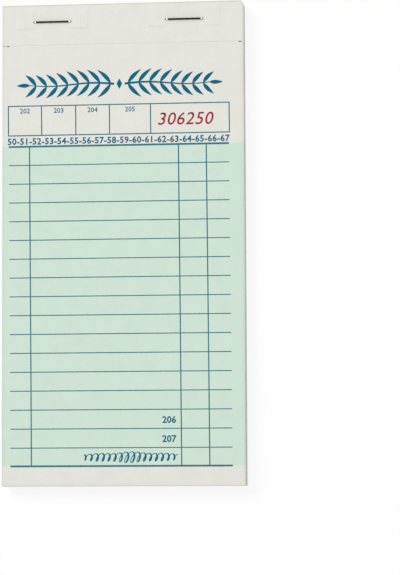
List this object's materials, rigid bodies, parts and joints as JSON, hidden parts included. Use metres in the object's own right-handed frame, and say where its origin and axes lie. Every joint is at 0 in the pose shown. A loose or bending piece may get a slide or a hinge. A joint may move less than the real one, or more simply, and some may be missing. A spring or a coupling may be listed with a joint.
{
  "type": "guest check pad",
  "caption": "Stapled pad of ruled, numbered guest checks: tear-off paper checks on a perforated stub, wire-stapled to a chipboard back.",
  "frame": {"origin": "centre of the board's underside, on the surface the pad lies on", "axes": "+X across the checks to the right, +Y along the pad to the stapled end, +Z out of the print"},
  "size_m": [0.0864, 0.1714, 0.0076],
  "materials": {
    "check_paper": "matte uncoated, printed",
    "stub_paper": "matte uncoated",
    "chipboard": "matte grey-brown chipboard",
    "staple_wire": "drawn wire"
  },
  "bodies": {
    "pad": {"backing_board": "chipboard", "stub_block": "stub_paper", "staple_left": "staple_wire", "staple_right": "staple_wire"},
    "check_01": {"check_01": "check_paper"},
    "check_02": {"check_02": "check_paper"},
    "check_03": {"check_03": "check_paper"},
    "check_04": {"check_04": "check_paper"},
    "check_05": {"check_05": "check_paper"},
    "check_06": {"check_06": "check_paper"},
    "check_07": {"check_07": "check_paper"},
    "check_08": {"check_08": "check_paper"},
    "check_09": {"check_09": "check_paper"},
    "check_10": {"check_10": "check_paper"},
    "check_11": {"check_11": "check_paper"},
    "check_12": {"check_12": "check_paper"},
    "check_13": {"check_13": "check_paper"},
    "check_14": {"check_14": "check_paper"},
    "check_15": {"check_15": "check_paper"},
    "check_16": {"check_16": "check_paper"},
    "check_17": {"check_17": "check_paper"},
    "check_18": {"check_18": "check_paper"},
    "check_19": {"check_19": "check_paper"},
    "check_20": {"check_20": "check_paper"},
    "check_21": {"check_21": "check_paper"},
    "check_22": {"check_22": "check_paper"},
    "check_23": {"check_23": "check_paper"},
    "check_24": {"check_24": "check_paper"},
    "check_25": {"check_25": "check_paper"},
    "check_26": {"check_26": "check_paper"},
    "check_27": {"check_27": "check_paper"},
    "check_28": {"check_28": "check_paper"},
    "check_29": {"check_29": "check_paper"},
    "check_30": {"check_30": "check_paper"},
    "check_31": {"check_31": "check_paper"},
    "check_32": {"check_32": "check_paper"},
    "check_33": {"check_33": "check_paper"},
    "check_34": {"check_34": "check_paper"},
    "check_35": {"check_35": "check_paper"},
    "check_36": {"check_36": "check_paper"},
    "check_37": {"check_37": "check_paper"},
    "check_38": {"check_38": "check_paper"},
    "check_39": {"check_39": "check_paper"},
    "check_40": {"check_40": "check_paper"},
    "check_41": {"check_41": "check_paper"},
    "check_42": {"check_42": "check_paper"},
    "check_43": {"check_43": "check_paper"},
    "check_44": {"check_44": "check_paper"},
    "check_45": {"check_45": "check_paper"},
    "check_46": {"check_46": "check_paper"},
    "check_47": {"check_47": "check_paper"},
    "check_48": {"check_48": "check_paper"},
    "check_49": {"check_49": "check_paper"},
    "check_50": {"check_50": "check_paper"}
  },
  "joints": [
    {"name": "riffle", "type": "hinge", "parent": "pad", "child": "check_02", "pos_m": [0, 0.07125, 0.00691], "axis": [-1, 0, 0], "range_deg": [0, 35]},
    {"name": "top_check_turn", "type": "hinge", "parent": "check_02", "child": "check_01", "pos_m": [0, 0.07125, 0.00703], "axis": [-1, 0, 0], "range_deg": [0, 135]},
    {"name": "riffle_03", "type": "hinge", "parent": "pad", "child": "check_03", "pos_m": [0, 0.07125, 0.00679], "axis": [-1, 0, 0], "range_deg": [0, 34.29]},
    {"name": "riffle_04", "type": "hinge", "parent": "pad", "child": "check_04", "pos_m": [0, 0.07125, 0.00667], "axis": [-1, 0, 0], "range_deg": [0, 33.57]},
    {"name": "riffle_05", "type": "hinge", "parent": "pad", "child": "check_05", "pos_m": [0, 0.07125, 0.00655], "axis": [-1, 0, 0], "range_deg": [0, 32.86]},
    {"name": "riffle_06", "type": "hinge", "parent": "pad", "child": "check_06", "pos_m": [0, 0.07125, 0.00643], "axis": [-1, 0, 0], "range_deg": [0, 32.14]},
    {"name": "riffle_07", "type": "hinge", "parent": "pad", "child": "check_07", "pos_m": [0, 0.07125, 0.00631], "axis": [-1, 0, 0], "range_deg": [0, 31.43]},
    {"name": "riffle_08", "type": "hinge", "parent": "pad", "child": "check_08", "pos_m": [0, 0.07125, 0.00619], "axis": [-1, 0, 0], "range_deg": [0, 30.71]},
    {"name": "riffle_09", "type": "hinge", "parent": "pad", "child": "check_09", "pos_m": [0, 0.07125, 0.00607], "axis": [-1, 0, 0], "range_deg": [0, 30]},
    {"name": "riffle_10", "type": "hinge", "parent": "pad", "child": "check_10", "pos_m": [0, 0.07125, 0.00595], "axis": [-1, 0, 0], "range_deg": [0, 29.29]},
    {"name": "riffle_11", "type": "hinge", "parent": "pad", "child": "check_11", "pos_m": [0, 0.07125, 0.00583], "axis": [-1, 0, 0], "range_deg": [0, 28.57]},
    {"name": "riffle_12", "type": "hinge", "parent": "pad", "child": "check_12", "pos_m": [0, 0.07125, 0.00571], "axis": [-1, 0, 0], "range_deg": [0, 27.86]},
    {"name": "riffle_13", "type": "hinge", "parent": "pad", "child": "check_13", "pos_m": [0, 0.07125, 0.00559], "axis": [-1, 0, 0], "range_deg": [0, 27.14]},
    {"name": "riffle_14", "type": "hinge", "parent": "pad", "child": "check_14", "pos_m": [0, 0.07125, 0.00547], "axis": [-1, 0, 0], "range_deg": [0, 26.43]},
    {"name": "riffle_15", "type": "hinge", "parent": "pad", "child": "check_15", "pos_m": [0, 0.07125, 0.00535], "axis": [-1, 0, 0], "range_deg": [0, 25.71]},
    {"name": "riffle_16", "type": "hinge", "parent": "pad", "child": "check_16", "pos_m": [0, 0.07125, 0.00523], "axis": [-1, 0, 0], "range_deg": [0, 25]},
    {"name": "riffle_17", "type": "hinge", "parent": "pad", "child": "check_17", "pos_m": [0, 0.07125, 0.00511], "axis": [-1, 0, 0], "range_deg": [0, 24.29]},
    {"name": "riffle_18", "type": "hinge", "parent": "pad", "child": "check_18", "pos_m": [0, 0.07125, 0.00499], "axis": [-1, 0, 0], "range_deg": [0, 23.57]},
    {"name": "riffle_19", "type": "hinge", "parent": "pad", "child": "check_19", "pos_m": [0, 0.07125, 0.00487], "axis": [-1, 0, 0], "range_deg": [0, 22.86]},
    {"name": "riffle_20", "type": "hinge", "parent": "pad", "child": "check_20", "pos_m": [0, 0.07125, 0.00475], "axis": [-1, 0, 0], "range_deg": [0, 22.14]},
    {"name": "riffle_21", "type": "hinge", "parent": "pad", "child": "check_21", "pos_m": [0, 0.07125, 0.00463], "axis": [-1, 0, 0], "range_deg": [0, 21.43]},
    {"name": "riffle_22", "type": "hinge", "parent": "pad", "child": "check_22", "pos_m": [0, 0.07125, 0.00451], "axis": [-1, 0, 0], "range_deg": [0, 20.71]},
    {"name": "riffle_23", "type": "hinge", "parent": "pad", "child": "check_23", "pos_m": [0, 0.07125, 0.00439], "axis": [-1, 0, 0], "range_deg": [0, 20]},
    {"name": "riffle_24", "type": "hinge", "parent": "pad", "child": "check_24", "pos_m": [0, 0.07125, 0.00427], "axis": [-1, 0, 0], "range_deg": [0, 19.29]},
    {"name": "riffle_25", "type": "hinge", "parent": "pad", "child": "check_25", "pos_m": [0, 0.07125, 0.00415], "axis": [-1, 0, 0], "range_deg": [0, 18.57]},
    {"name": "riffle_26", "type": "hinge", "parent": "pad", "child": "check_26", "pos_m": [0, 0.07125, 0.00403], "axis": [-1, 0, 0], "range_deg": [0, 17.86]},
    {"name": "riffle_27", "type": "hinge", "parent": "pad", "child": "check_27", "pos_m": [0, 0.07125, 0.00391], "axis": [-1, 0, 0], "range_deg": [0, 17.14]},
    {"name": "riffle_28", "type": "hinge", "parent": "pad", "child": "check_28", "pos_m": [0, 0.07125, 0.00379], "axis": [-1, 0, 0], "range_deg": [0, 16.43]},
    {"name": "riffle_29", "type": "hinge", "parent": "pad", "child": "check_29", "pos_m": [0, 0.07125, 0.00367], "axis": [-1, 0, 0], "range_deg": [0, 15.71]},
    {"name": "riffle_30", "type": "hinge", "parent": "pad", "child": "check_30", "pos_m": [0, 0.07125, 0.00355], "axis": [-1, 0, 0], "range_deg": [0, 15]},
    {"name": "riffle_31", "type": "hinge", "parent": "pad", "child": "check_31", "pos_m": [0, 0.07125, 0.00343], "axis": [-1, 0, 0], "range_deg": [0, 14.29]},
    {"name": "riffle_32", "type": "hinge", "parent": "pad", "child": "check_32", "pos_m": [0, 0.07125, 0.00331], "axis": [-1, 0, 0], "range_deg": [0, 13.57]},
    {"name": "riffle_33", "type": "hinge", "parent": "pad", "child": "check_33", "pos_m": [0, 0.07125, 0.00319], "axis": [-1, 0, 0], "range_deg": [0, 12.86]},
    {"name": "riffle_34", "type": "hinge", "parent": "pad", "child": "check_34", "pos_m": [0, 0.07125, 0.00307], "axis": [-1, 0, 0], "range_deg": [0, 12.14]},
    {"name": "riffle_35", "type": "hinge", "parent": "pad", "child": "check_35", "pos_m": [0, 0.07125, 0.00295], "axis": [-1, 0, 0], "range_deg": [0, 11.43]},
    {"name": "riffle_36", "type": "hinge", "parent": "pad", "child": "check_36", "pos_m": [0, 0.07125, 0.00283], "axis": [-1, 0, 0], "range_deg": [0, 10.71]},
    {"name": "riffle_37", "type": "hinge", "parent": "pad", "child": "check_37", "pos_m": [0, 0.07125, 0.00271], "axis": [-1, 0, 0], "range_deg": [0, 10]},
    {"name": "riffle_38", "type": "hinge", "parent": "pad", "child": "check_38", "pos_m": [0, 0.07125, 0.00259], "axis": [-1, 0, 0], "range_deg": [0, 9.29]},
    {"name": "riffle_39", "type": "hinge", "parent": "pad", "child": "check_39", "pos_m": [0, 0.07125, 0.00247], "axis": [-1, 0, 0], "range_deg": [0, 8.57]},
    {"name": "riffle_40", "type": "hinge", "parent": "pad", "child": "check_40", "pos_m": [0, 0.07125, 0.00235], "axis": [-1, 0, 0], "range_deg": [0, 7.86]},
    {"name": "riffle_41", "type": "hinge", "parent": "pad", "child": "check_41", "pos_m": [0, 0.07125, 0.00223], "axis": [-1, 0, 0], "range_deg": [0, 7.14]},
    {"name": "riffle_42", "type": "hinge", "parent": "pad", "child": "check_42", "pos_m": [0, 0.07125, 0.00211], "axis": [-1, 0, 0], "range_deg": [0, 6.43]},
    {"name": "riffle_43", "type": "hinge", "parent": "pad", "child": "check_43", "pos_m": [0, 0.07125, 0.00199], "axis": [-1, 0, 0], "range_deg": [0, 5.71]},
    {"name": "riffle_44", "type": "hinge", "parent": "pad", "child": "check_44", "pos_m": [0, 0.07125, 0.00187], "axis": [-1, 0, 0], "range_deg": [0, 5]},
    {"name": "riffle_45", "type": "hinge", "parent": "pad", "child": "check_45", "pos_m": [0, 0.07125, 0.00175], "axis": [-1, 0, 0], "range_deg": [0, 4.29]},
    {"name": "riffle_46", "type": "hinge", "parent": "pad", "child": "check_46", "pos_m": [0, 0.07125, 0.00163], "axis": [-1, 0, 0], "range_deg": [0, 3.57]},
    {"name": "riffle_47", "type": "hinge", "parent": "pad", "child": "check_47", "pos_m": [0, 0.07125, 0.00151], "axis": [-1, 0, 0], "range_deg": [0, 2.86]},
    {"name": "riffle_48", "type": "hinge", "parent": "pad", "child": "check_48", "pos_m": [0, 0.07125, 0.00139], "axis": [-1, 0, 0], "range_deg": [0, 2.14]},
    {"name": "riffle_49", "type": "hinge", "parent": "pad", "child": "check_49", "pos_m": [0, 0.07125, 0.00127], "axis": [-1, 0, 0], "range_deg": [0, 1.43]},
    {"name": "riffle_50", "type": "hinge", "parent": "pad", "child": "check_50", "pos_m": [0, 0.07125, 0.00115], "axis": [-1, 0, 0], "range_deg": [0, 0.7148]}
  ],
  "couplings": [
    {"joint": "riffle_03", "follows": "riffle", "ratio": 0.97959},
    {"joint": "riffle_04", "follows": "riffle", "ratio": 0.95918},
    {"joint": "riffle_05", "follows": "riffle", "ratio": 0.93878},
    {"joint": "riffle_06", "follows": "riffle", "ratio": 0.91837},
    {"joint": "riffle_07", "follows": "riffle", "ratio": 0.89796},
    {"joint": "riffle_08", "follows": "riffle", "ratio": 0.87755},
    {"joint": "riffle_09", "follows": "riffle", "ratio": 0.85714},
    {"joint": "riffle_10", "follows": "riffle", "ratio": 0.83674},
    {"joint": "riffle_11", "follows": "riffle", "ratio": 0.81633},
    {"joint": "riffle_12", "follows": "riffle", "ratio": 0.79592},
    {"joint": "riffle_13", "follows": "riffle", "ratio": 0.77551},
    {"joint": "riffle_14", "follows": "riffle", "ratio": 0.7551},
    {"joint": "riffle_15", "follows": "riffle", "ratio": 0.73469},
    {"joint": "riffle_16", "follows": "riffle", "ratio": 0.71429},
    {"joint": "riffle_17", "follows": "riffle", "ratio": 0.69388},
    {"joint": "riffle_18", "follows": "riffle", "ratio": 0.67347},
    {"joint": "riffle_19", "follows": "riffle", "ratio": 0.65306},
    {"joint": "riffle_20", "follows": "riffle", "ratio": 0.63265},
    {"joint": "riffle_21", "follows": "riffle", "ratio": 0.61225},
    {"joint": "riffle_22", "follows": "riffle", "ratio": 0.59184},
    {"joint": "riffle_23", "follows": "riffle", "ratio": 0.57143},
    {"joint": "riffle_24", "follows": "riffle", "ratio": 0.55102},
    {"joint": "riffle_25", "follows": "riffle", "ratio": 0.53061},
    {"joint": "riffle_26", "follows": "riffle", "ratio": 0.5102},
    {"joint": "riffle_27", "follows": "riffle", "ratio": 0.4898},
    {"joint": "riffle_28", "follows": "riffle", "ratio": 0.46939},
    {"joint": "riffle_29", "follows": "riffle", "ratio": 0.44898},
    {"joint": "riffle_30", "follows": "riffle", "ratio": 0.42857},
    {"joint": "riffle_31", "follows": "riffle", "ratio": 0.40816},
    {"joint": "riffle_32", "follows": "riffle", "ratio": 0.38776},
    {"joint": "riffle_33", "follows": "riffle", "ratio": 0.36735},
    {"joint": "riffle_34", "follows": "riffle", "ratio": 0.34694},
    {"joint": "riffle_35", "follows": "riffle", "ratio": 0.32653},
    {"joint": "riffle_36", "follows": "riffle", "ratio": 0.30612},
    {"joint": "riffle_37", "follows": "riffle", "ratio": 0.28571},
    {"joint": "riffle_38", "follows": "riffle", "ratio": 0.26531},
    {"joint": "riffle_39", "follows": "riffle", "ratio": 0.2449},
    {"joint": "riffle_40", "follows": "riffle", "ratio": 0.22449},
    {"joint": "riffle_41", "follows": "riffle", "ratio": 0.20408},
    {"joint": "riffle_42", "follows": "riffle", "ratio": 0.18367},
    {"joint": "riffle_43", "follows": "riffle", "ratio": 0.16326},
    {"joint": "riffle_44", "follows": "riffle", "ratio": 0.14286},
    {"joint": "riffle_45", "follows": "riffle", "ratio": 0.12245},
    {"joint": "riffle_46", "follows": "riffle", "ratio": 0.10204},
    {"joint": "riffle_47", "follows": "riffle", "ratio": 0.081633},
    {"joint": "riffle_48", "follows": "riffle", "ratio": 0.061224},
    {"joint": "riffle_49", "follows": "riffle", "ratio": 0.040816},
    {"joint": "riffle_50", "follows": "riffle", "ratio": 0.020408}
  ]
}
